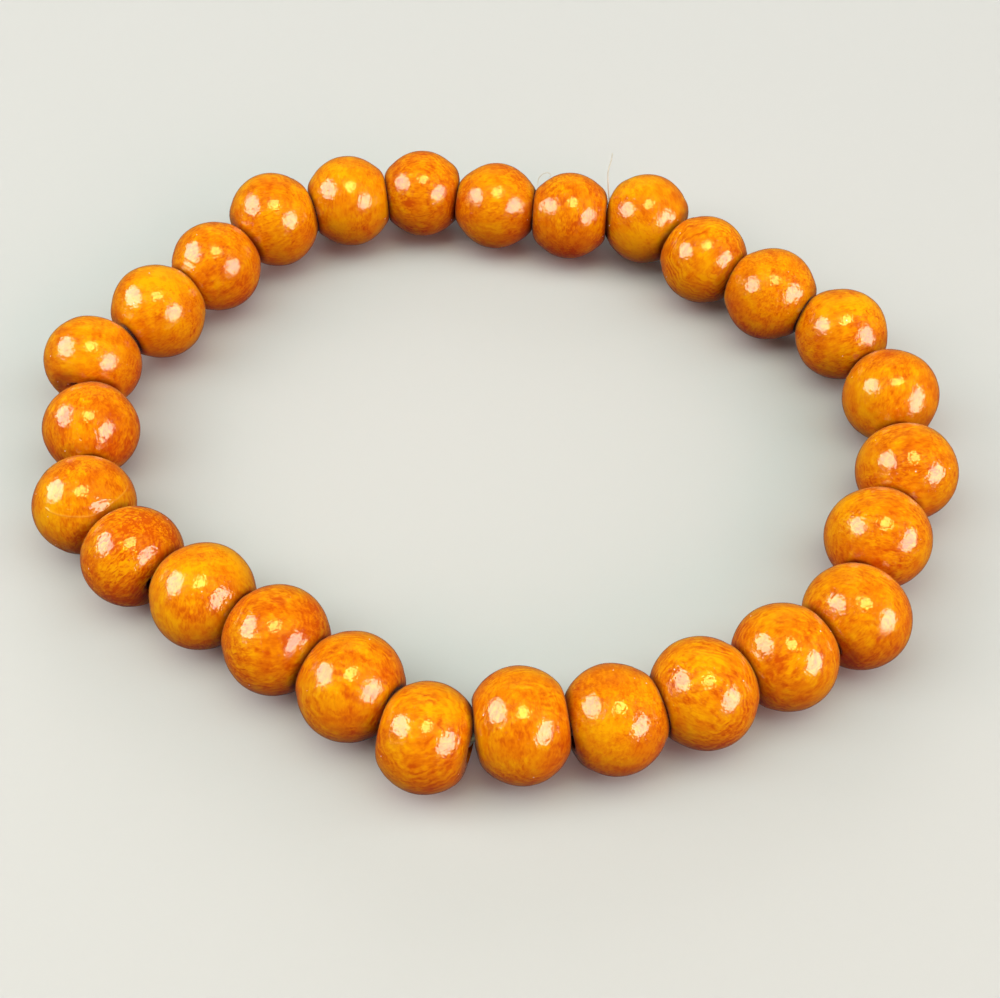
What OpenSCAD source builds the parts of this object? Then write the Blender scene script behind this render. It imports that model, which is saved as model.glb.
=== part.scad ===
// Stretch bracelet of turned wooden beads, lying on a flat surface.
// Every bead is a turned barrel with rounded rims, drilled lengthways, and one
// elastic thread runs through all the holes as a closed loop.
// The string is laid bead by bead: each step goes from one bead's centre to the
// next one's, and is just long enough for the two beads to clear each other.

/* [Beads] */
// Mean diameter of a bead, across its hole
bead_d = 8.1; // [7.6:0.1:8.6]
// Mean length of a bead, along its hole
bead_len = 6.4; // [6:0.1:6.5]
// Radius of the arc of a bead's side
side_r = 3.6; // [3.6:0.1:4]
// Radius of the rounding between a bead's side and its flat ends
rim_r = 1.4; // [1:0.1:1.5]
// Diameter of the drilled hole
hole_d = 1.4; // [1.4:0.1:1.8]
// Diameter of the worn mouth at each end of the hole
mouth_d = 1.9; // [1.9:0.1:2.8]
// Depth of the worn mouth
mouth_h = 0.4; // [0.3:0.1:0.6]

/* [String] */
// Clear distance between neighbouring beads
play = 0.12; // [0.1:0.02:0.3]
// Diameter of the elastic thread
thread_d = 0.5; // [0.4:0.1:0.5]

/* [Hidden] */
$fn = 96;

// One row for each bead, clockwise from the left end of the far side.
// Wider and longer: how far this hand-turned bead departs from the mean, in mm.
// Run: direction of the step to the next bead, in degrees from +X.
// Cant: how far the bead's hole is turned from the mean of the steps before and after.
WIDER = 0;
LONGER = 1;
RUN = 2;
CANT = 3;
BEADS = [
    [ 0.3,  0.2,   19.5,  -3],
    [ 0.0,  0.1,    9.0,   0],
    [-0.4, -0.1,  -13.5,   5],
    [-0.4,  0.3,  -11.0,  -2],
    [-0.4, -0.2,   -5.0,   6],
    [-0.1, -0.1,  -44.5,  -1],
    [-0.4, -0.2,  -37.5,  -5],
    [-0.1,  0.2,  -38.5,   5],
    [-0.3,  0.4,  -64.5,  -2],
    [-0.2,  0.5,  -89.5,  -1],
    [ 0.0,  0.0, -118.0, -17],
    [ 0.2,  0.6, -111.5,   2],
    [ 0.2, -0.4, -150.5,  -3],
    [ 0.1, -0.2, -155.5,   7],
    [ 0.3,  0.4, -163.5,   3],
    [ 0.1,  0.0, -176.0,  11],
    [ 0.5, -0.2, -173.5,   3],
    [ 0.0, -0.5,  144.5,   0],
    [ 0.2,  0.1,  146.5,   3],
    [ 0.3,  0.3,  147.5,   8],
    [ 0.2,  0.4,  148.5,   3],
    [-0.1, -0.7,  133.5,  -7],
    [ 0.0, -0.1,   95.0,   7],
    [-0.3,  0.6,   97.0,  -5],
    [ 0.0, -0.7,   48.0,   7],
    [ 0.1,  0.3,   49.5,  -5],
    [-0.2,  0.0,   48.0,   4]
];
COUNT = len(BEADS);
function next(i) = (i + 1) % COUNT;
function prior(i) = (i + COUNT - 1) % COUNT;

// Size and heading of bead i
function radius(i) = (bead_d + BEADS[i][WIDER]) / 2;
function half_len(i) = (bead_len + BEADS[i][LONGER]) / 2;
function run(i) = BEADS[i][RUN];
function turn(a, b) = let (t = (b - a) % 360) t > 180 ? t - 360 : t < -180 ? t + 360 : t;
function heading(i) = run(prior(i)) + turn(run(prior(i)), run(i)) / 2 + BEADS[i][CANT];

// The profile of bead i: the centre of the side's arc lies at radius side_x, and the
// rim's arc, centred at (rim_x, rim_y), runs into it without a corner.
function side_x(i) = radius(i) - side_r;
function rim_y(i) = half_len(i) - rim_r;
function rim_x(i) = side_x(i) + sqrt(pow(side_r - rim_r, 2) - pow(rim_y(i), 2));
function join_y(i) = side_r * rim_y(i) / (side_r - rim_r);

// How far bead i reaches from its centre in a level direction, a degrees off its hole
function reach(i, a) =
    let (c = abs(cos(a)), s = abs(sin(a)))
    s * rim_y(i) < c * (rim_x(i) - side_x(i)) ?
        rim_y(i) * c + rim_x(i) * s + rim_r :
        side_x(i) * s + side_r;

// The step from bead i to the next one: the shortest at which some upright plane, square
// to a direction near the step's own, leaves both beads clear of it and of each other
FAN = [-60 : 2 : 60];
function dir(a) = [cos(a), sin(a)];
function both(i, a) = reach(i, a - heading(i)) + reach(next(i), a - heading(next(i))) + play;
function step(i) = min([for (k = FAN) both(i, run(i) + k) / cos(k)]);

// Centres of the beads: one step after another, with what is left between the last
// step and the first bead shared out over the string
STEPS = [for (i = [0 : COUNT - 1]) step(i) * dir(run(i))];
TRACK = [for (i = 0, p = [0, 0]; i <= COUNT; p = p + (i < COUNT ? STEPS[i] : p), i = i + 1) p];
LAID = [for (i = [0 : COUNT - 1]) TRACK[i] - TRACK[COUNT] * i / COUNT];

// The string is centred on its own box, and every bead stands on the surface
function low(k) = min([for (i = [0 : COUNT - 1]) LAID[i][k] - reach(i, heading(i) - 90 * k)]);
function high(k) = max([for (i = [0 : COUNT - 1]) LAID[i][k] + reach(i, heading(i) - 90 * k)]);
MIDDLE = [low(0) + high(0), low(1) + high(1)] / 2;
PLACE = [for (i = [0 : COUNT - 1]) [LAID[i].x - MIDDLE.x, LAID[i].y - MIDDLE.y, radius(i)]];

// The thread's route: two points on the axis of each hole, and one point midway
// between the facing holes of two neighbours
hold = 0.8;    // where the two points lie, as a share of half the bead's length
function along(i, s) = PLACE[i] + s * [cos(heading(i)), sin(heading(i)), 0];
function between(i) = (along(i, half_len(i)) + along(next(i), -half_len(next(i)))) / 2;
ROUTE = [
    for (i = [0 : COUNT - 1])
        each [along(i, -hold * half_len(i)), along(i, hold * half_len(i)), between(i)]
];

// A round tube along a closed route, with a ring at each point square to the bend there
module loop_tube(route, d, sides = 8) {
    m = len(route);
    unit = [
        for (k = [0 : m - 1])
            let (v = route[(k + 1) % m] - route[(k + m - 1) % m]) v / norm(v)
    ];
    rings = [
        for (k = [0 : m - 1])
            let (across = cross([0, 0, 1], unit[k]) / norm(cross([0, 0, 1], unit[k])), up = cross(unit[k], across))
            for (j = [0 : sides - 1])
                let (a = 360 * (j + 0.5) / sides) route[k] + d / 2 * (cos(a) * across + sin(a) * up)
    ];
    faces = [
        for (k = [0 : m - 1], j = [0 : sides - 1])
            let (
                a = k * sides,
                b = (k + 1) % m * sides,
                q = (j + 1) % sides
            )
            each [[a + j, b + j, a + q], [a + q, b + j, b + q]]
    ];
    polyhedron(rings, faces);
}

// Half outline of bead i, with its hole along Y
module bead_outline(i) {
    difference() {
        union() {
            translate([0, -half_len(i)]) square([rim_x(i), 2 * half_len(i)]);
            for (end = [-1, 1])
                intersection() {
                    translate([rim_x(i), end * rim_y(i)]) circle(rim_r);
                    translate([0, -bead_d]) square([bead_d, 2 * bead_d]);
                }
            intersection() {
                translate([side_x(i), 0]) circle(side_r);
                translate([0, -join_y(i)]) square([bead_d, 2 * join_y(i)]);
            }
        }
        translate([-1, -bead_len]) square([1 + hole_d / 2, 2 * bead_len]);
        for (end = [0, 1])
            mirror([0, end])
                polygon([
                    [0, half_len(i) - mouth_h],
                    [hole_d / 2, half_len(i) - mouth_h],
                    [mouth_d / 2, half_len(i)],
                    [mouth_d / 2, half_len(i) + 1],
                    [0, half_len(i) + 1]
                ]);
    }
}

module bead(i) {
    color("darkorange")
        translate(PLACE[i])
            rotate([0, 0, heading(i)])
                rotate([0, 90, 0])
                    rotate_extrude() bead_outline(i);
}

module thread() {
    color("ivory") loop_tube(ROUTE, thread_d);
}

for (i = [0 : COUNT - 1])
    bead(i);
thread();
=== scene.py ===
# Stretch bracelet: turned wooden beads with a glossy orange-brown finish, strung on an
# elastic thread, laid on a plain pale floor.
import math

import bpy
import numpy as np
from mathutils import Matrix, Quaternion, Vector


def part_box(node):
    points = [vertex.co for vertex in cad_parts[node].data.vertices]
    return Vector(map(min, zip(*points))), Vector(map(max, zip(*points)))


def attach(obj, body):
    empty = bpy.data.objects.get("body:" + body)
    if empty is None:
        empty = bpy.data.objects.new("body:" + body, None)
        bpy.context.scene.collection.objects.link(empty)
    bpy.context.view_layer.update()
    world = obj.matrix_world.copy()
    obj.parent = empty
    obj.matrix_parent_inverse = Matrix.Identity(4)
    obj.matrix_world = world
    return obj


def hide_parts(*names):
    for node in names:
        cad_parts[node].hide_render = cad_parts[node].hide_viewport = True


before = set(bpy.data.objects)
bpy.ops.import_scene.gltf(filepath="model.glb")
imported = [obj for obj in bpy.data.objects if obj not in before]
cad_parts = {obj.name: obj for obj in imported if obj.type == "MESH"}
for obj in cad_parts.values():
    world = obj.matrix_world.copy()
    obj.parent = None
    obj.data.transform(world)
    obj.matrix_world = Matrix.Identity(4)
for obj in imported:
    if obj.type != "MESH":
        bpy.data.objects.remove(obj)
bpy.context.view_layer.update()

MM = 0.001
UP = np.array([0.0, 0.0, 1.0])
BEADS = sorted(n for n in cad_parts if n.startswith("bead_"))


def add_object(name, data):
    """A new object in the scene that holds a camera, a light or a mesh."""
    added = bpy.data.objects.new(name, data)
    bpy.context.scene.collection.objects.link(added)
    return added


def smooth_mesh(name, points, faces):
    """A smooth-shaded mesh from points in metres."""
    mesh = bpy.data.meshes.new(name)
    mesh.from_pydata(points, [], faces)
    mesh.polygons.foreach_set("use_smooth", np.ones(len(faces), bool))
    return mesh


def give(mesh, name, rows):
    """Three values for each point of a mesh, for its material to read."""
    attribute = mesh.attributes.new(name, "FLOAT_VECTOR", "POINT")
    attribute.data.foreach_set("vector", rows.astype(np.float32).ravel())


def grid_faces(rows, n, m):
    """Faces between a row of m points and the next one; after row n comes row 0."""
    i, j = np.meshgrid(np.arange(rows), np.arange(m), indexing="ij")
    after, beside = (i + 1) % n * m, (j + 1) % m
    return np.stack([i * m + j, i * m + beside, after + beside, after + j], 2).reshape(-1, 4)


def ramp(values, start, length):
    """0 up to start, and from there a straight rise to 1 over length."""
    return np.clip((values - start) / length, 0, 1)


def bell(values, width, power=2):
    """1 at zero, falling away over about width."""
    return np.exp(-((values / width) ** power))


# Camera: the photograph's viewing angle
FOCAL = 1338.0  # focal length, in pixels of a picture that is PICTURE_WIDTH pixels wide
PICTURE_WIDTH = 1000.0
TILT_DOWN = math.radians(58.47)
ROLL = math.radians(0.50)
CAMERA_DISTANCE = 111.3 * MM
LOOK_AT = Vector((0.92, -4.13, 0.0)) * MM

forward = Vector((0.0, math.cos(TILT_DOWN), -math.sin(TILT_DOWN)))
right = Vector((1.0, 0.0, 0.0))
down = forward.cross(right)
picture_right = right * math.cos(ROLL) + down * math.sin(ROLL)
picture_up = right * math.sin(ROLL) - down * math.cos(ROLL)
camera_data = bpy.data.cameras.new("camera")
camera_data.sensor_fit = "HORIZONTAL"
camera_data.sensor_width = 36.0
camera_data.lens = FOCAL / PICTURE_WIDTH * camera_data.sensor_width
camera_data.clip_start = 0.005
camera_data.clip_end = 20.0
camera = add_object("camera", camera_data)
facing_us = Matrix((picture_right, picture_up, -forward)).transposed()
camera_place = Matrix.Translation(LOOK_AT - forward * CAMERA_DISTANCE)
camera.matrix_world = camera_place @ facing_us.to_4x4()
bpy.context.scene.camera = camera


def seen(x, y, z):
    """The direction in the frame that is right, up and towards the viewer in the picture."""
    v = picture_right * x + picture_up * y - forward * z
    return np.array(v.normalized())


class Lumps:
    """Smooth random lumps in space, the same on every run."""

    TABLE = 256
    FULL = 1.6  # brings the lumps to about -1 to 1

    def __init__(self, seed):
        rng = np.random.default_rng(seed)
        self.order = rng.permutation(self.TABLE)
        slopes = rng.normal(size=(self.TABLE, 3))
        self.slopes = slopes / np.linalg.norm(slopes, axis=1)[:, None]

    def slope_at(self, corner):
        """The slope that belongs to each corner of the lumps' grid."""
        pick = self.order[corner[:, 0] & (self.TABLE - 1)]
        pick = self.order[(pick + corner[:, 1]) & (self.TABLE - 1)]
        pick = self.order[(pick + corner[:, 2]) & (self.TABLE - 1)]
        return self.slopes[pick]

    def __call__(self, points, height, size, shift):
        """Lumps of a height, size apart, at each point; shift picks another part of them."""
        p = (points + shift) / size
        cell = np.floor(p).astype(int)
        part = p - cell
        fade = part * part * part * (part * (part * 6 - 15) + 10)
        total = np.zeros(len(p))
        for corner in np.ndindex(2, 2, 2):
            slope = (self.slope_at(cell + corner) * (part - corner)).sum(1)
            total += slope * np.prod(np.where(corner, fade, 1 - fade), axis=1)
        return total * self.FULL * height


# Bead outline as in the CAD, in mm
SIDE_R = 3.6  # arc of a bead's side
RIM_R = 1.4  # rounding between the side and the flat ends
BORE_R = 0.7
MOUTH_R = 0.95
MOUTH_H = 0.4
RIM_SLACK = 0.1  # how much the points of the bore's rims may differ in their distance


def read_bead(name):
    """A bead's centre, hole direction, radius and half length, read from its CAD node in mm."""
    low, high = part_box(name)
    centre = np.array((low + high) / 2) / MM
    co = np.array([v.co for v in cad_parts[name].data.vertices], float) / MM - centre
    # The points nearest the middle are the bore's two rims, one on each side of it
    off = np.linalg.norm(co, axis=1)
    bore = co[off < off.min() + RIM_SLACK]
    bore = bore * np.where(bore @ bore[0] < 0, -1, 1)[:, None]
    axis = bore.mean(0) * (1, 1, 0)
    axis /= np.linalg.norm(axis)
    return {
        "name": name,
        "centre": centre,
        "axis": axis,
        "radius": (high.z - low.z) / 2 / MM,
        "half": np.abs(co @ axis).max(),
    }


beads = [read_bead(name) for name in BEADS]


def after(k):
    return beads[(k + 1) % len(beads)]


for k, bead in enumerate(beads):
    if bead["axis"] @ (after(k)["centre"] - beads[k - 1]["centre"]) < 0:
        bead["axis"] = -bead["axis"]
    bead["side"] = np.cross(UP, bead["axis"])

# How each bead's wood looks in the picture: the way its fibres run and the way its growth
# rings face, as right, up and towards the viewer, then ring strength, grain strength and tone
# The tone is partly the wood's own and partly painted light and shade: beads lit less are darker
LOOKS = [
    ((1.0, 0.2, 0.1), (-0.3, 0.3, 0.9), 0.5, 0.84, 0.55),
    ((0.1, 1.0, 0.2), (0.2, 0.1, 1.0), 0.3, 0.66, 0.71),
    ((1.0, 0.0, 0.1), (0.1, -0.4, 0.9), 0.6, 0.99, 0.42),
    ((1.0, 0.1, 0.0), (0.0, -0.3, 0.9), 0.4, 0.81, 0.46),
    ((0.1, 1.0, 0.1), (0.3, 0.0, 1.0), 0.4, 0.88, 0.35),
    ((0.5, -0.8, 0.2), (0.3, 0.3, 0.9), 0.3, 0.74, 0.68),
    ((0.7, 0.7, 0.1), (0.3, 0.2, 0.9), 1.0, 0.59, 0.54),
    ((0.1, 0.2, 1.0), (1.0, 0.2, 0.1), 0.3, 0.79, 0.5),
    ((0.9, 0.3, 0.3), (0.1, 0.5, 0.9), 0.3, 1.1, 0.62),
    ((0.3, 1.0, 0.1), (0.6, 0.0, 0.8), 0.3, 0.63, 0.57),
    ((1.0, 0.1, 0.1), (0.1, 0.3, 1.0), 0.5, 0.78, 0.55),
    ((1.0, -0.2, 0.1), (0.1, -0.4, 0.9), 0.6, 1.02, 0.53),
    ((0.6, 0.6, 0.5), (-0.3, -0.2, 0.9), 0.6, 0.7, 0.49),
    ((0.8, 0.5, 0.1), (-0.1, 0.1, 1.0), 0.8, 0.65, 0.53),
    ((0.9, -0.4, 0.1), (0.4, -0.2, 0.9), 0.9, 0.7, 0.59),
    ((0.2, 0.3, 0.9), (1.0, 0.1, 0.2), 0.3, 0.71, 0.46),
    ((0.0, 1.0, 0.1), (0.3, -0.3, 0.9), 0.7, 0.6, 0.46),
    ((1.0, 0.1, 0.1), (0.1, 0.3, 0.9), 0.9, 0.56, 0.54),
    ((0.1, 1.0, 0.1), (-0.2, -0.1, 1.0), 0.8, 0.62, 0.5),
    ((1.0, 0.0, 0.1), (-0.3, 0.2, 0.9), 0.6, 0.79, 0.42),
    ((0.1, 0.9, 0.4), (0.3, 0.2, 0.9), 0.5, 0.80, 0.66),
    ((0.8, 0.6, 0.2), (-0.2, 0.1, 0.9), 0.7, 1.45, 0.38),
    ((0.0, 1.0, 0.2), (0.4, 0.1, 0.9), 0.3, 0.9, 0.59),
    ((0.1, 1.0, 0.1), (0.4, -0.1, 0.9), 0.4, 0.85, 0.42),
    ((1.0, 0.0, 0.3), (0.0, 0.4, 0.9), 0.3, 0.68, 0.55),
    ((1.0, 0.2, 0.4), (0.1, -0.3, 0.9), 0.3, 0.84, 0.73),
    ((0.8, 0.5, 0.1), (0.2, -0.5, 0.8), 0.5, 0.75, 0.43),
]

# Marks on a bead, by its number: places as degrees round the hole from the top and mm along
# it, then width and depth in mm. Cracks and dents go in, and a pale raised edge has a depth
# below zero; its pale colour is partly wear and partly a painted highlight along the ridge.
MARKS = {
    3: [
        ([(-77, -0.8), (-76, -0.1), (-74, 0.6)], 0.10, 0.03),
        ([(-77, 0.5), (-74, 0.9), (-71, 1.1)], 0.09, 0.03),
        ([(-25, -0.9), (-29, 0.0), (-30, 0.9)], 0.16, 0.008),
    ],
    13: [([(-31, 1.15), (-29, 1.45), (-30, 1.8)], 0.12, 0.03)],
    19: [
        ([(-25, 1.4)], 0.25, 0.05),
        ([(-22, 0.3)], 0.16, 0.03),
        ([(28, -0.4), (40, -0.7), (52, -1.3)], 0.12, 0.012),
    ],
    22: [
        ([(22, -2.8)], 0.20, 0.04),
        ([(19, -2.6), (22, -2.95), (26, -2.7)], 0.08, 0.03),
    ],
    23: [
        (
            [(43, -0.75), (41, -1.25), (36, -1.8), (28, -2.3), (16, -2.7), (4, -2.88), (-8, -2.92)]
            + [(-18, -2.89), (-28, -2.78), (-44, -2.45), (-56, -2.02), (-64, -1.56), (-67, -1.2)],
            0.13,
            -0.022,
        )
    ],
    24: [([(-4, -2.75)], 0.18, 0.07)],
    27: [([(-84, -2.6), (-88, -2.8)], 0.10, 0.03)],
}
FULL_MARK = 0.03  # depth at which a mark has its whole colour
MARK_SPREAD = 1.5  # widths of a mark to which the mesh round it is fine

# Beads with a crisp edge between the side and an end: bead number, then strength at the end
# towards the bead before and at the end towards the next one
SHOULDERS = {
    4: (0.3, 0.3),
    6: (0.1, 0.5),
    9: (0.2, 0.5),
    22: (0.7, 0.2),
    23: (1.0, 0.3),
    27: (0.5, 0.2),
}
SOFT_SHOULDERS = (0.15, 0.15)
SHOULDER_IN = 0.78  # mm from the end to the edge's crest
CREST_HEIGHT, CREST_WIDTH = 0.022, 0.10
GROOVE_DEPTH, GROOVE_WIDTH, GROOVE_OFF = 0.020, 0.2, 0.32

# Hand turning, in mm: height, distance between lumps, and where in the lumps it is taken
SLOW_WAVES = (0.026, 2.6, 0)
WAVES = (0.008, 1.1, 20)
FINE_WAVES = (0.0035, 0.5, 40)
WAVE_LIMIT = 0.035
SKIN_FROM, SKIN_FADE = 2.6, 0.5  # from the bead's middle: past this is its outer skin
SKIN_MOUTH_FADE = 0.3
END_FROM, END_FADE = 1.8, 1.0  # along the hole, where the waves give way to the end's swell
END_CALM = 0.7  # share of the waves that is gone at the ends
END_SWELL, SWELL_MOUTH_FADE = 0.045, 0.2
LIP_WIDTH, LIP_FROM_END, LIP_DEPTH = 0.14, 0.8, 0.02
LIP_WEAR = (0.03, 0.55, 60)
TURNING_FROM, TURNING_FADE = 1.6, 1.0
TURNING_HEIGHT, TURNING_GAP = 0.0022, 0.31
TURNING_BEND = (3, 3.0, 80)

# Domed ends, in mm, and how much of the room before the next bead a dome may take
DOME = 0.36
DOME_R = 2.9
DOME_FROM_END, DOME_FADE = 1.2, 0.8
DOME_SHARE, DOME_CLEAR = 0.46, 0.03

# Painted shade in the creases between beads: share, width in mm and steepness; then painted shade on
# the ends, and how bare the lips and bore are
TIGHT_CREASE_SHADE, TIGHT_FALL = 0.97, (0.63, 3.2)
WIDE_CREASE_SHADE, WIDE_FALL = 0.14, (1.8, 2)
END_SHADE, END_SHADE_FADE, END_SHADE_FROM_END = 0.35, 0.9, 0.6
LIP_BARE, BORE_BARE_FADE = 0.9, 0.2

SHAPE_SEED = 100
WOOD_SEED = 500
# Where in the tree a bead's middle may lie, in mm: out from the pith, across, along the fibres
WOOD_SPANS = ((9, 16), (-2, 2), (-50, 50))

ROUND = 138  # segments round a bead
SIDE_GAP = 0.14  # mm between rings on a bead's side
END_GAP = 0.088  # and on its ends
BORE_GAP = 0.8  # and in its bore
FINE_GAP = 0.045  # mm between rings and segments at a mark
SIDE_OUT = 3  # mm from the hole's axis: past this the rings are a side's
BORE_OUT = BORE_R + 0.05  # and up to this they are the bore's
MARK_OUT = 1.6  # and past this they can carry a mark
RIM_POINTS = 40
SIDE_POINTS = 60
LINE_STEP = 0.02  # mm between the points of the outline while its corners are softened
SOFTENING = 0.05
SOFT_REACH = 8  # steps


def arcs(bead):
    """Where the side's arc and the rim's arc are centred: out to the side, out to the rim, along."""
    side_x = bead["radius"] - SIDE_R
    rim_y = bead["half"] - RIM_R
    return side_x, side_x + math.sqrt((SIDE_R - RIM_R) ** 2 - rim_y**2), rim_y


def arc(radius, x, y, start, end, count):
    """Points (along, out) of an arc centred out to x and along to y."""
    angles = np.linspace(start, end, count)
    return [(y + radius * math.sin(a), x + radius * math.cos(a)) for a in angles]


def half_profile(bead):
    """Points (along, out) of half a bead's outline, from mid bore to mid side."""
    side_x, rim_x, rim_y = arcs(bead)
    join = math.atan2(rim_y, rim_x - side_x)
    if MOUTH_R < rim_x:
        lip, start = bead["half"], math.pi / 2
    else:
        lip = rim_y + math.sqrt(RIM_R**2 - (MOUTH_R - rim_x) ** 2)
        start = math.acos((MOUTH_R - rim_x) / RIM_R)
    path = [(0.0, BORE_R), (bead["half"] - MOUTH_H, BORE_R), (lip, MOUTH_R)]
    path += arc(RIM_R, rim_x, rim_y, start, join, RIM_POINTS)
    path += arc(SIDE_R, side_x, 0.0, join, 0, SIDE_POINTS)[1:]
    return np.array(path)


def clear_of(points, bead):
    """How far each point lies from a bead's surface, in mm."""
    off = points - bead["centre"]
    along = np.abs(off @ bead["axis"])
    out = np.sqrt(np.maximum((off**2).sum(1) - along**2, 0))
    side_x, rim_x, rim_y = arcs(bead)
    on_side = np.arctan2(along, out - side_x) < math.atan2(rim_y, rim_x - side_x)
    to_rim = np.hypot(out - rim_x, along - rim_y) - RIM_R
    to_end = np.where(out > rim_x, to_rim, along - bead["half"])
    return np.where(on_side, np.hypot(out - side_x, along) - SIDE_R, to_end)


def softened_outline(bead):
    """A bead's whole outline (along, out) in even steps, its corners softened, and the steps."""
    half = half_profile(bead)
    path = np.concatenate([half * (-1, 1), half[::-1][1:]])
    at = np.concatenate([[0], np.cumsum(np.linalg.norm(np.diff(path, axis=0), axis=1))])
    even = np.arange(0, at[-1], LINE_STEP)
    line = np.stack([np.interp(even, at, path[:, k]) for k in (0, 1)], 1)
    reach = np.arange(-SOFT_REACH, SOFT_REACH + 1)
    soft = np.exp(-0.5 * (reach * LINE_STEP / SOFTENING) ** 2)
    soft /= soft.sum()
    padded = np.pad(line, ((SOFT_REACH, SOFT_REACH), (0, 0)), mode="edge")
    return np.stack([np.convolve(padded[:, k], soft, mode="valid") for k in (0, 1)], 1), even


def is_fine(place, gap, stretches):
    return any(a - gap < place < b for a, b in stretches)


def bead_grid(bead, marks):
    """Rings of a bead's outline and angles round it, closer together at its marks."""
    line, even = softened_outline(bead)
    radius = bead["radius"]
    around = 2 * math.pi * radius
    fine_rings, fine_angles = [], []
    for places, width, _ in marks:
        degrees, alongs = zip(*places)
        spread = MARK_SPREAD * width
        inside = (line[:, 1] > MARK_OUT) & (line[:, 0] > min(alongs) - spread)
        inside &= line[:, 0] < max(alongs) + spread
        fine_rings.append((even[inside].min(), even[inside].max()))
        span = math.degrees(spread / radius)
        low = math.radians((min(degrees) - span) % 360) * radius
        high = math.radians((max(degrees) + span) % 360) * radius
        fine_angles += [(low, high)] if low < high else [(0, high), (low, around)]
    places = [0.0]
    while places[-1] < even[-1]:
        here = np.interp(places[-1], even, line[:, 1])
        gap = SIDE_GAP if here > SIDE_OUT else END_GAP if here > BORE_OUT else BORE_GAP
        places.append(places[-1] + (FINE_GAP if is_fine(places[-1], gap, fine_rings) else gap))
    places = np.array(places[:-1])
    rings = np.stack([np.interp(places, even, line[:, k]) for k in (0, 1)], 1)
    turns, gap = [0.0], around / ROUND
    while turns[-1] < around:
        turns.append(turns[-1] + (FINE_GAP if is_fine(turns[-1], gap, fine_angles) else gap))
    angles = np.array(turns) * around / turns[-1]
    return rings, angles[:-1] / radius


def revolved(pairs, angles):
    """Pairs (along, out) taken round the hole: x to the bead's side, y along the hole, z up."""
    along, out = pairs[:, :1], pairs[:, 1:]
    swept = [out * np.sin(angles), np.repeat(along, len(angles), 1), out * np.cos(angles)]
    return np.stack(swept, 2).reshape(-1, 3)


def mark_depth(points, bead, marks):
    """How far the marks go in at each point, and how much each point belongs to one."""
    depth, share = np.zeros(len(points)), np.zeros(len(points))
    for places, width, deep in marks:
        path = []
        for degrees, along in places:
            a = math.radians(degrees)
            r = bead["radius"] - SIDE_R + math.sqrt(SIDE_R**2 - along**2)
            path.append((r * math.sin(a), along, r * math.cos(a)))
        path = np.array(path)
        far = np.linalg.norm(points - path[0], axis=1)
        for a, b in zip(path[:-1], path[1:]):
            t = np.clip((points - a) @ (b - a) / ((b - a) @ (b - a)), 0, 1)
            off = points - a - t[:, None] * (b - a)
            far = np.minimum(far, np.linalg.norm(off, axis=1))
        reach = bell(far, width / 2)
        depth += deep * reach
        share += np.clip(deep / FULL_MARK, -1, 1) * reach
    return depth, share


def hand_turned(k, bead, points, along, out):
    """How far each point stands out from the outline, and how much it lies on a worn lip."""
    lumps = Lumps(SHAPE_SEED + k)
    reach = np.abs(along)
    skin = ramp(np.hypot(out, along), SKIN_FROM, SKIN_FADE) * ramp(out, MOUTH_R, SKIN_MOUTH_FADE)
    end = ramp(reach, END_FROM, END_FADE)
    # Out of round, with hand-turned waves
    rise = lumps(points, *SLOW_WAVES) + lumps(points, *WAVES)
    rise = skin * (1 - END_CALM * end) * rise + skin * lumps(points, *FINE_WAVES)
    rise = np.minimum(rise, WAVE_LIMIT)
    rise += END_SWELL * end * ramp(out, MOUTH_R, SWELL_MOUTH_FADE)
    # The worn, uneven lip of each mouth
    lip = bell(out - MOUTH_R, LIP_WIDTH) * (reach > bead["half"] - LIP_FROM_END)
    rise -= lip * (LIP_DEPTH + np.maximum(lumps(points, *LIP_WEAR), 0))
    # Fine turning rings towards the ends
    phase = 2 * math.pi * along / TURNING_GAP + lumps(points, *TURNING_BEND)
    rise += ramp(reach, TURNING_FROM, TURNING_FADE) * skin * TURNING_HEIGHT * np.sin(phase)
    for side, strength in zip((-1, 1), SHOULDERS.get(k + 1, SOFT_SHOULDERS)):
        off = side * along - (bead["half"] - SHOULDER_IN)
        crest = CREST_HEIGHT * bell(off, CREST_WIDTH)
        groove = GROOVE_DEPTH * bell(off - GROOVE_OFF, GROOVE_WIDTH)
        rise += skin * strength * (crest - groove)
    return rise, lip


def in_the_wood(k, bead, placed):
    """Wood coordinates in mm: towards the bark, across, and along the fibres."""
    fibre, facing = seen(*LOOKS[k][0]), seen(*LOOKS[k][1])
    facing = facing - (facing @ fibre) * fibre
    facing /= np.linalg.norm(facing)
    across = np.cross(fibre, facing)
    rng = np.random.default_rng(WOOD_SEED + k)
    shift = np.array([rng.uniform(*span) for span in WOOD_SPANS])
    return (placed - bead["centre"]) @ np.stack([facing, across, fibre]).T + shift


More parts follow.
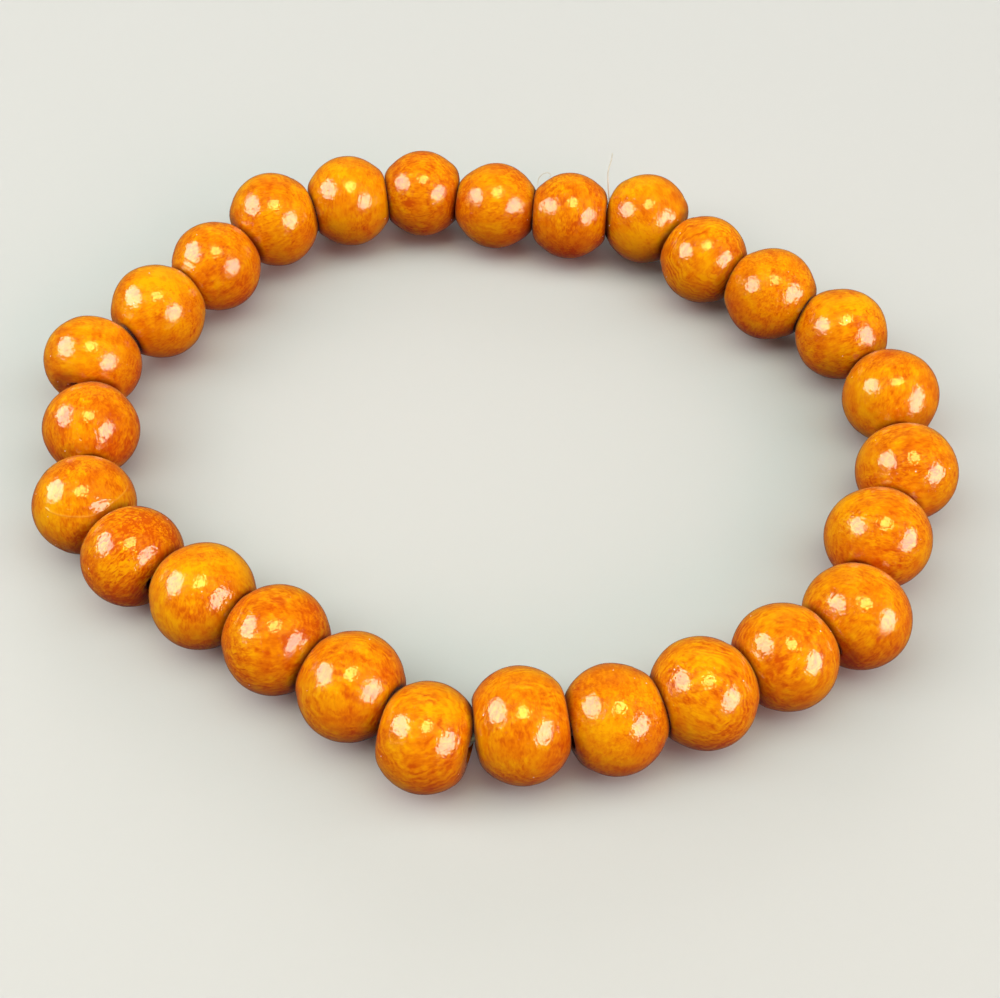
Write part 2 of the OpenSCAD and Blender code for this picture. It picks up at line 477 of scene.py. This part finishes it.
def build_bead(k, bead):
    """One bead's final mesh, with what its material reads at each point."""
    marks = MARKS.get(k + 1, [])
    rings, angles = bead_grid(bead, marks)
    n, m = len(rings), len(angles)
    ahead = np.roll(rings, -1, 0) - np.roll(rings, 1, 0)
    normal = np.stack([-ahead[:, 1], ahead[:, 0]], 1)
    normal /= np.linalg.norm(normal, axis=1)[:, None]
    points, normals = revolved(rings, angles), revolved(normal, angles)
    along, out = np.repeat(rings[:, 0], m), np.repeat(rings[:, 1], m)
    reach = np.abs(along)
    rise, lip = hand_turned(k, bead, points, along, out)
    depth, share = mark_depth(points, bead, marks)
    points = points + normals * (rise - depth)[:, None]
    placed = points @ np.stack([bead["side"], bead["axis"], UP]) + bead["centre"]
    # Domed ends, as far as the next bead leaves room for them
    room = np.minimum(clear_of(placed, beads[k - 1]), clear_of(placed, after(k)))
    dome = DOME * np.clip(1 - (out / DOME_R) ** 2, 0, 1)
    dome = dome * ramp(reach - bead["half"], -DOME_FROM_END, DOME_FADE)
    dome = np.minimum(dome, np.maximum(DOME_SHARE * room - DOME_CLEAR, 0))
    placed += (np.sign(along) * dome)[:, None] * bead["axis"]
    # Painted shade: the creases between beads and the ends that face the next bead are darkened
    room = np.maximum(room, 0)
    crease_shade = np.maximum(TIGHT_CREASE_SHADE * bell(room, *TIGHT_FALL), WIDE_CREASE_SHADE * bell(room, *WIDE_FALL))
    end_shade = ramp(DOME_R - out, 0, END_SHADE_FADE) * (reach > bead["half"] - END_SHADE_FROM_END)
    crease_shade = np.maximum(crease_shade, END_SHADE * end_shade)
    # Lips and bore show bare wood; their darkness is partly painted shade inside the holes
    worn_and_shaded = np.clip(lip * LIP_BARE + ramp(MOUTH_R - out, 0, BORE_BARE_FADE), 0, 1)

    mesh = smooth_mesh(bead["name"] + "_turned", (placed * MM).tolist(), grid_faces(n, n, m).tolist())
    give(mesh, "wood", in_the_wood(k, bead, placed))
    give(mesh, "own", np.tile(LOOKS[k][2:], (len(placed), 1)))
    give(mesh, "marks_wear_and_shade", np.stack([share, worn_and_shaded, crease_shade], 1))
    mesh.update()
    mesh.materials.append(wood_material)
    piece = add_object(bead["name"] + "_turned", mesh)
    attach(piece, "root")
    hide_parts(bead["name"])


class Nodes:
    """Short ways to add shader nodes to one material."""

    def __init__(self, name):
        self.material = bpy.data.materials.new(name)
        self.material.use_nodes = True
        self.tree = self.material.node_tree
        self.tree.nodes.clear()
        self.shader = self.add("ShaderNodeBsdfPrincipled")
        out = self.add("ShaderNodeOutputMaterial")
        self.link(self.shader.outputs["BSDF"], out.inputs["Surface"])

    def add(self, kind, **values):
        node = self.tree.nodes.new(kind)
        for key, value in values.items():
            setattr(node, key, value)
        return node

    def link(self, source, target):
        self.tree.links.new(source, target)

    def feed(self, socket, value):
        if isinstance(value, bpy.types.NodeSocket):
            self.link(value, socket)
        else:
            socket.default_value = value

    def set(self, name, value):
        """A value or a link for one of the surface's own sockets."""
        self.feed(self.shader.inputs[name], value)

    def math(self, operation, *values, clamp=False):
        node = self.add("ShaderNodeMath", operation=operation, use_clamp=clamp)
        for socket, value in zip(node.inputs, values):
            self.feed(socket, value)
        return node.outputs[0]

    def times(self, value, factor):
        return self.math("MULTIPLY", value, factor)

    def less(self, value, taken):
        return self.math("SUBTRACT", value, taken)

    def total(self, value, *others):
        for other in others:
            value = self.math("ADD", value, other)
        return value

    def swing(self, value, amount):
        """A value from 0 to 1 turned into a swing about zero, amount wide."""
        return self.times(self.less(value, 0.5), amount)

    def attribute(self, name):
        return self.add("ShaderNodeAttribute", attribute_name=name).outputs["Vector"]

    def split(self, vector):
        node = self.add("ShaderNodeSeparateXYZ")
        self.link(vector, node.inputs[0])
        return node.outputs

    def join(self, x, y, z):
        node = self.add("ShaderNodeCombineXYZ")
        for socket, value in zip(node.inputs, (x, y, z)):
            self.feed(socket, value)
        return node.outputs[0]

    def noise(self, vector, scale, detail=2.0, roughness=0.5, distortion=0.0):
        node = self.add("ShaderNodeTexNoise")
        self.link(vector, node.inputs["Vector"])
        node.inputs["Scale"].default_value = scale
        node.inputs["Detail"].default_value = detail
        node.inputs["Roughness"].default_value = roughness
        node.inputs["Distortion"].default_value = distortion
        return node.outputs[0]

    def range(self, value, low, high, to_low=0.0, to_high=1.0, smooth=False):
        node = self.add("ShaderNodeMapRange", clamp=True)
        node.interpolation_type = "SMOOTHSTEP" if smooth else "LINEAR"
        self.feed(node.inputs["Value"], value)
        node.inputs["From Min"].default_value = low
        node.inputs["From Max"].default_value = high
        node.inputs["To Min"].default_value = to_low
        node.inputs["To Max"].default_value = to_high
        return node.outputs[0]

    def mix(self, share, a, b):
        node = self.add("ShaderNodeMix", data_type="RGBA")
        self.feed(node.inputs[0], share)
        self.feed(node.inputs[6], a)
        self.feed(node.inputs[7], b)
        return node.outputs[2]

    def bump(self, height, distance):
        node = self.add("ShaderNodeBump")
        node.inputs["Strength"].default_value = 1.0
        node.inputs["Distance"].default_value = distance
        self.link(height, node.inputs["Height"])
        self.set("Normal", node.outputs["Normal"])


# Colours of the wood, from the painted shade of deep creases to the lightest grain, and of what lies
# on it
CREASE_SHADE_COLOUR = (0.15, 0.007, 0.0004, 1.0)
DARK = (0.58, 0.085, 0.0004, 1.0)
MIDDLE = (0.75, 0.208, 0.0006, 1.0)
LIGHT = (0.85, 0.365, 0.0008, 1.0)
# Bare wood of the lips and bore, its dark colour partly painted shade inside the holes
BARE_WOOD_IN_SHADE = (0.20, 0.025, 0.0020, 1.0)
# Pale edge: partly wear, partly a painted highlight where the ridge catches the light
EDGE = (0.85, 0.40, 0.06, 1.0)
DUST = (0.85, 0.80, 0.72, 1.0)
SHEEN = (1.0, 0.85, 0.70, 1.0)

# Coordinates drawn out along the fibres: scale across them and along them
DRAWN = {"thin": (7.5, 2.8), "dashes": (5.0, 2.4), "coarse": (3.4, 1.5)}
# Noises in the wood: scale, detail, roughness and distortion
NOISES = {
    "wave": (0.45, 2.0, 0.5, 0.0),
    "ripple": (1.7, 2.0, 0.5, 0.0),
    "shown": (1.1, 2.0, 0.5, 0.0),
    "fibres": (0.75, 1.0, 0.5, 0.8),
    "strokes": (1.0, 1.0, 0.5, 1.0),
    "specks": (3.2, 1.0, 0.5, 0.0),
    "pores": (1.3, 2.0, 0.6, 0.8),
    "coming": (0.4, 1.0, 0.5, 0.0),
    "patches": (0.9, 2.0, 0.5, 0.0),
    "drift": (0.28, 0.0, 0.5, 0.0),
    "gloss": (3.0, 3.0, 0.6, 0.0),
    "swell": (3.4, 1.0, 0.5, 0.0),
    "lines": (0.8, 0.0, 0.5, 0.4),
    "pits": (7.5, 1.0, 0.5, 0.0),
}
# How far a noise moves the growth rings, in mm, or the lightness of the wood
SWINGS = {
    "wave": 1.6,
    "ripple": 0.5,
    "fibres": 1.3,
    "strokes": 1.9,
    "specks": 0.5,
    "patches": 1.3,
    "drift": 0.9,
}
# A value's low and high, what they become, and whether the change between is eased
RANGES = {
    "ring_rise": (0.0, 0.55),
    "ring_fall": (0.60, 1.0, 1.0, 0.0),
    "shown": (0.38, 0.62),
    "pores": (0.60, 0.70, 0.0, 1.0, True),
    "coming": (0.35, 0.65, 0.38, 0.92),
    "to_middle": (0.0, 0.5),
    "to_light": (0.5, 1.0),
    "dust": (0.030, 0.046, 1.0, 0.0),
    "gloss": (0.3, 0.7, 0.055, 0.095),
    "pits": (0.66, 0.76, 0.0, 1.0, True),
}
RING_PERIOD = 0.40  # mm
RING_SWING = 0.80
PORE_DARKENS = 0.05
MARK_COLOURS = 0.55
DUST_SCALE = 0.75
DUST_LEFT_OUT = 0.35  # share of the cells that hold no speck
WORN_ROUGHENS = 0.35
DUST_ROUGHENS = 0.5
# Relief of the lacquer over the grain, in shares of RELIEF
RELIEF = 0.012 * MM
SWELL_RISE, LINES_RISE, PIT_DEPTH, PORE_DEPTH = 2.2, 0.45, 0.6, 0.15


def make_wood():
    """Dyed, close-grained wood under a thin glossy lacquer."""
    n = Nodes("lacquered_wood")
    wood = n.attribute("wood")
    strength, blotch, tone_and_light = n.split(n.attribute("own"))
    mark, worn_and_shaded, crease_shade = n.split(n.attribute("marks_wear_and_shade"))
    bark, across, fibre = n.split(wood)

    def drawn(name):
        wide, long = DRAWN[name]
        return n.join(n.times(bark, wide), n.times(across, wide), n.times(fibre, long))

    def noise(name, vector=wood):
        return n.noise(vector, *NOISES[name])

    def swing(name, vector=wood):
        return n.swing(noise(name, vector), SWINGS[name])

    def ranged(name, value):
        return n.range(value, *RANGES[name])

    # Growth rings, bent by slow waves and fading in and out
    radius = n.math("SQRT", n.total(n.math("POWER", bark, 2.0), n.math("POWER", across, 2.0)))
    radius = n.total(radius, swing("wave"), swing("ripple"))
    ring = n.math("FRACT", n.math("DIVIDE", radius, RING_PERIOD))
    ring = n.times(ranged("ring_rise", ring), ranged("ring_fall", ring))
    rings = n.swing(ring, n.times(strength, RING_SWING))
    rings = n.times(rings, ranged("shown", noise("shown")))
    # Grain: short fibres, coarser strokes, specks and pores, in places strong and in places weak
    thin = drawn("thin")
    grain = n.total(swing("fibres", thin), swing("strokes", drawn("coarse")), swing("specks"))
    pore = ranged("pores", noise("pores", drawn("dashes")))
    grain = n.less(grain, n.times(pore, PORE_DARKENS))
    grain = n.times(grain, n.times(blotch, ranged("coming", noise("coming"))))
    # Lightness: rings, grain, patches, slow drift and the bead's tone, partly its own and partly
    # painted light and shade
    light = n.total(rings, grain, swing("patches"), swing("drift"), tone_and_light)
    colour = n.mix(ranged("to_middle", light), DARK, MIDDLE)
    colour = n.mix(ranged("to_light", light), colour, LIGHT)
    colour = n.mix(n.math("MULTIPLY", mark, MARK_COLOURS, clamp=True), colour, DARK)
    # The pale raised edge: partly wear, partly a painted highlight
    colour = n.mix(n.math("MULTIPLY", mark, -MARK_COLOURS, clamp=True), colour, EDGE)
    # Painted shade in the creases and on the ends
    colour = n.mix(crease_shade, colour, CREASE_SHADE_COLOUR)
    # Bare wood at the lips and bore, partly painted shade
    colour = n.mix(worn_and_shaded, colour, BARE_WOOD_IN_SHADE)
    # A few specks of dust
    cells = n.add("ShaderNodeTexVoronoi")
    n.link(wood, cells.inputs["Vector"])
    cells.inputs["Scale"].default_value = DUST_SCALE
    some = n.math("GREATER_THAN", n.split(cells.outputs["Color"])[0], DUST_LEFT_OUT)
    dust = n.times(ranged("dust", cells.outputs["Distance"]), some)
    n.set("Base Color", n.mix(dust, colour, DUST))
    rough = ranged("gloss", noise("gloss"))
    rough = n.total(rough, n.times(worn_and_shaded, WORN_ROUGHENS), n.times(dust, DUST_ROUGHENS))
    n.set("Roughness", rough)
    n.set("Specular IOR Level", 0.5)
    n.set("Sheen Weight", 0.12)
    n.set("Sheen Roughness", 0.30)
    n.set("Sheen Tint", SHEEN)
    # Relief: soft swells and fibre lines, with tiny pits and pores
    pit = ranged("pits", noise("pits"))
    height = n.total(n.times(noise("swell"), SWELL_RISE), n.times(noise("lines", thin), LINES_RISE))
    height = n.less(n.less(height, n.times(pit, PIT_DEPTH)), n.times(pore, PORE_DEPTH))
    n.bump(height, RELIEF)
    return n.material


wood_material = make_wood()
for k, bead in enumerate(beads):
    build_bead(k, bead)

# Thread: through every hole, and across from each hole to the next one
THREAD_R = 0.25
THREAD_SIDES = 28
THREAD_STEPS = 14
HOLD = 0.8  # how far out in a bead the thread lies straight, as a share of half its length
FILAMENTS = 7
FILAMENT_DEPTH = 0.05  # share of the radius
TWIST = 2.2  # mm along the thread for one turn of its filaments
LAY_ROUND, LAY_ALONG = 3, 0.35  # size of the thread's own coordinates round it and along it
# The thread is off-white; its colours here are darker, as painted shade for the holes and creases it
# lies in
THREAD_DARK = (0.40, 0.36, 0.29, 1.0)
THREAD_PALE = (0.72, 0.68, 0.60, 1.0)
STRANDS = (0.3, 0.7)


def make_thread_material():
    """Off-white stretch thread of fine twisted filaments, its colours darkened as painted shade."""
    n = Nodes("elastic_thread")
    strands = n.noise(n.attribute("lay"), 1.0)
    n.set("Base Color", n.mix(n.range(strands, *STRANDS), THREAD_DARK, THREAD_PALE))
    n.set("Roughness", n.range(strands, *STRANDS, 0.55, 0.35))
    n.bump(strands, 0.02 * MM)
    return n.material


thread_material = make_thread_material()


def thread_route():
    """Two points on each hole's axis, and one midway between the holes of two neighbours."""
    route = []
    for k, bead in enumerate(beads):
        end = bead["axis"] * bead["half"]
        following = after(k)
        enters = following["centre"] - following["axis"] * following["half"]
        route += [bead["centre"] - end * HOLD, bead["centre"] + end * HOLD]
        route.append((bead["centre"] + end + enters) / 2)
    return np.array(route)


def smooth_loop(points, count):
    """A closed curve through the points, count steps to each."""
    before, a, b, beyond = (np.roll(points, s, 0)[:, None] for s in (1, 0, -1, -2))
    t = (np.arange(count) / count)[None, :, None]
    bend = 2 * before - 5 * a + 4 * b - beyond
    twist = 3 * a - before - 3 * b + beyond
    return (0.5 * (2 * a + (b - before) * t + bend * t**2 + twist * t**3)).reshape(-1, 3)


def tube(name, path, radii, sides, closed, lobes=0, twist=1.0, lobe_depth=0.0):
    """A round tube along a path in mm, with lobes winding round it."""
    ahead = np.roll(path, -1, 0) - np.roll(path, 1, 0)
    if not closed:
        ahead[0], ahead[-1] = path[1] - path[0], path[-1] - path[-2]
    ahead /= np.linalg.norm(ahead, axis=1)[:, None]
    across = np.cross(UP, ahead)
    across /= np.linalg.norm(across, axis=1)[:, None]
    over = np.cross(ahead, across)
    run = np.concatenate([[0], np.cumsum(np.linalg.norm(np.diff(path, axis=0), axis=1))])
    wind = run / twist
    if closed:
        whole = run[-1] + np.linalg.norm(path[0] - path[-1])
        wind = run * round(whole / twist) / whole
    angle = np.arange(sides) * 2 * math.pi / sides
    turned = angle[None, :] - 2 * math.pi * wind[:, None]
    r = np.reshape(radii, (-1, 1)) * (1 + lobe_depth * np.cos(lobes * turned))
    round_it = np.cos(angle)[:, None] * across[:, None] + np.sin(angle)[:, None] * over[:, None]
    points = path[:, None] + r[..., None] * round_it
    n, m = len(path), sides
    faces = grid_faces(n if closed else n - 1, n, m)[:, ::-1].tolist()
    if not closed:
        faces += [list(range(m)), [(n - 1) * m + k for k in range(m)][::-1]]
    mesh = smooth_mesh(name, (points.reshape(-1, 3) * MM).tolist(), faces)
    along = np.repeat(run[:, None], m, 1) * LAY_ALONG
    give(mesh, "lay", np.stack([np.cos(turned) * LAY_ROUND, np.sin(turned) * LAY_ROUND, along], 2))
    mesh.update()
    mesh.materials.append(thread_material)
    piece = add_object(name, mesh)
    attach(piece, "root")
    return piece


thread_path = smooth_loop(thread_route(), THREAD_STEPS)
filaments = (FILAMENTS, TWIST, FILAMENT_DEPTH)
thread = tube("thread_twisted", thread_path, THREAD_R, THREAD_SIDES, True, *filaments)
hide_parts("thread")

FIBRE_SIDES = 8
FIBRE_STEPS = 10


def loose_fibre(name, points, thick, thin):
    """A bare strand through the points, thinner towards its tip."""
    points = np.array(points)
    ends = np.array([2 * points[0] - points[1], 2 * points[-1] - points[-2]])
    line = smooth_loop(np.concatenate([ends[:1], points, ends[1:]]), FIBRE_STEPS)
    line = line[FIBRE_STEPS : 1 - 2 * FIBRE_STEPS]
    tube(name, line, np.linspace(thick, thin, len(line)), FIBRE_SIDES, False)


# One fibre comes out of the crease between two beads of the far side and stands up. Places
# are mm from the point midway between them
fifth, sixth = beads[4]["centre"], beads[5]["centre"]
STANDING = [
    (0.0, 0.0, 0.3),
    (0.05, 0.2, 1.6),
    (-0.1, 0.7, 2.9),
    (-0.15, 1.6, 4.0),
    (0.15, 2.6, 4.5),
    (0.3, 3.4, 4.6),
]
loose_fibre("loose_fibre", (fifth + sixth) / 2 + np.array(STANDING), 0.070, 0.045)

# A short one is curled up at the upper left outline of the fifth bead. Places are mm to the
# right and up in the picture from the bead's centre
CURLED = [(-2.95, 2.75), (-2.85, 3.35), (-2.45, 3.75), (-2.0, 3.85), (-1.75, 3.6), (-1.95, 3.42)]
CURL_NEARER = 0.4  # mm from the bead's centre towards the viewer
curl = [picture_right * x + picture_up * y - forward * CURL_NEARER for x, y in CURLED]
loose_fibre("curled_fibre", [fifth + np.array(place) for place in curl], 0.035, 0.025)

# Floor: flat all round the bracelet, and far away it sweeps up into the background. In m
FLOOR_NEAR = [0.05, 0.25, 0.4, 0.6, 0.8, 1.0, 1.2, 1.5]
FLOOR_FLAT = 1.8
FLOOR_SWEEP = 3.0
FLOOR_SPOKES = 96
FLOOR_COLOUR = (0.47, 0.475, 0.48, 1.0)
GLOW_COLOUR = (0.80, 0.79, 0.77, 1.0)
GLOW_FROM, GLOW_FADE = 0.25, 0.75
BLACK = (0.0, 0.0, 0.0, 1.0)

sweep = np.linspace(0, math.pi / 2, 24)
floor_out = np.concatenate([FLOOR_NEAR, FLOOR_FLAT + FLOOR_SWEEP * np.sin(sweep)])
floor_up = np.concatenate([[0.0] * len(FLOOR_NEAR), FLOOR_SWEEP * (1 - np.cos(sweep))])
floor_points = [(0.0, 0.0, 0.0)]
floor_faces = []
for ring, (out, up) in enumerate(zip(floor_out, floor_up)):
    for k in range(FLOOR_SPOKES):
        a = 2 * math.pi * k / FLOOR_SPOKES
        floor_points.append((out * math.cos(a), out * math.sin(a), up))
        here = 1 + ring * FLOOR_SPOKES + k
        beside = 1 + ring * FLOOR_SPOKES + (k + 1) % FLOOR_SPOKES
        inner = (here - FLOOR_SPOKES, here, beside, beside - FLOOR_SPOKES)
        floor_faces.append(inner if ring else (0, here, beside))
floor_mesh = smooth_mesh("floor", floor_points, floor_faces)
# The colour of the lit floor gives way to a glow of its own, so that the background of a low
# view isn't black and takes on less of the lights' tint
far = ramp(np.linalg.norm(floor_points, axis=1), GLOW_FROM, GLOW_FADE)
far = far * far * (3 - 2 * far)
give(floor_mesh, "far", np.repeat(far[:, None], 3, 1))
floor_look = Nodes("floor")
glow = floor_look.split(floor_look.attribute("far"))[0]
floor_look.set("Base Color", floor_look.mix(glow, FLOOR_COLOUR, BLACK))
floor_look.set("Emission Color", GLOW_COLOUR)
floor_look.set("Emission Strength", glow)
floor_look.set("Roughness", 0.75)
floor_mesh.materials.append(floor_look.material)
floor = add_object("floor", floor_mesh)
# The floor gives no colour back to the beads
floor.visible_diffuse = False
floor.visible_glossy = False

# Light: broad soft panels overhead and round about for the shade of the wood, and three
# smaller ones that only show as reflections in the lacquer. Direction, distance in m, size
# in m, turn in degrees, radiance, tint, and whether it is one of the reflected ones
PANELS = [
    ("panel_over", (0.00, 0.05, 1.00), 0.80, (0.50, 0.50), 0, 3.2, (0.82, 1.0, 0.90), False),
    ("panel_high_east", (0.60, 0.00, 0.80), 1.00, (0.70, 0.70), 0, 3.2, (0.82, 1.0, 0.95), False),
    ("panel_high_west", (-0.60, 0.00, 0.80), 1.00, (0.70, 0.70), 0, 3.6, (0.88, 1.0, 0.95), False),
    ("panel_east", (0.91, 0.00, 0.42), 1.00, (0.70, 0.50), 0, 2.5, (1.0, 0.69, 0.63), False),
    ("panel_north", (0.00, 0.91, 0.42), 1.00, (0.70, 0.50), 0, 3.4, (1.0, 0.90, 0.86), False),
    ("panel_west", (-0.91, 0.00, 0.42), 1.00, (0.70, 0.50), 0, 4.0, (1.0, 0.66, 0.61), False),
    ("panel_near", (0.64, -0.64, 0.42), 1.00, (0.70, 0.50), 0, 4.5, (1.0, 0.49, 0.46), False),
    ("panel_left", (-0.792, 0.074, 0.606), 0.316, (0.262, 0.185), 29, 10.5, (1.0, 0.99, 0.80), True),
    ("panel_right", (0.772, -0.432, 0.466), 1.05, (0.86, 0.62), 2, 11.2, (1.0, 0.99, 0.79), True),
    ("lamp_top", (0.092, -0.060, 0.994), 0.46, (0.220, 0.190), -28, 15.5, (1.0, 0.93, 0.22), True),
]
for name, toward, distance, size, roll, radiance, tint, mirrored in PANELS:
    light = bpy.data.lights.new(name, "AREA")
    light.shape = "ELLIPSE" if mirrored else "RECTANGLE"
    light.size, light.size_y = size
    light.energy = radiance * math.pi * size[0] * size[1] * (math.pi / 4 if mirrored else 1)
    light.color = tint
    lamp = add_object(name, light)
    lamp.location = Vector(toward).normalized() * distance
    to_middle = (-lamp.location).to_track_quat("-Z", "Y")
    lamp.rotation_euler = (to_middle @ Quaternion((0, 0, 1), math.radians(roll))).to_euler()
    lamp.visible_diffuse = not mirrored
    lamp.visible_glossy = mirrored
    lamp.visible_camera = False

world = bpy.data.worlds.new("surround")
bpy.context.scene.world = world
world.use_nodes = True
surround = world.node_tree.nodes["Background"]
surround.inputs["Color"].default_value = (1.0, 0.98, 0.95, 1.0)
surround.inputs["Strength"].default_value = 0.055
bpy.context.scene.view_settings.view_transform = "Standard"
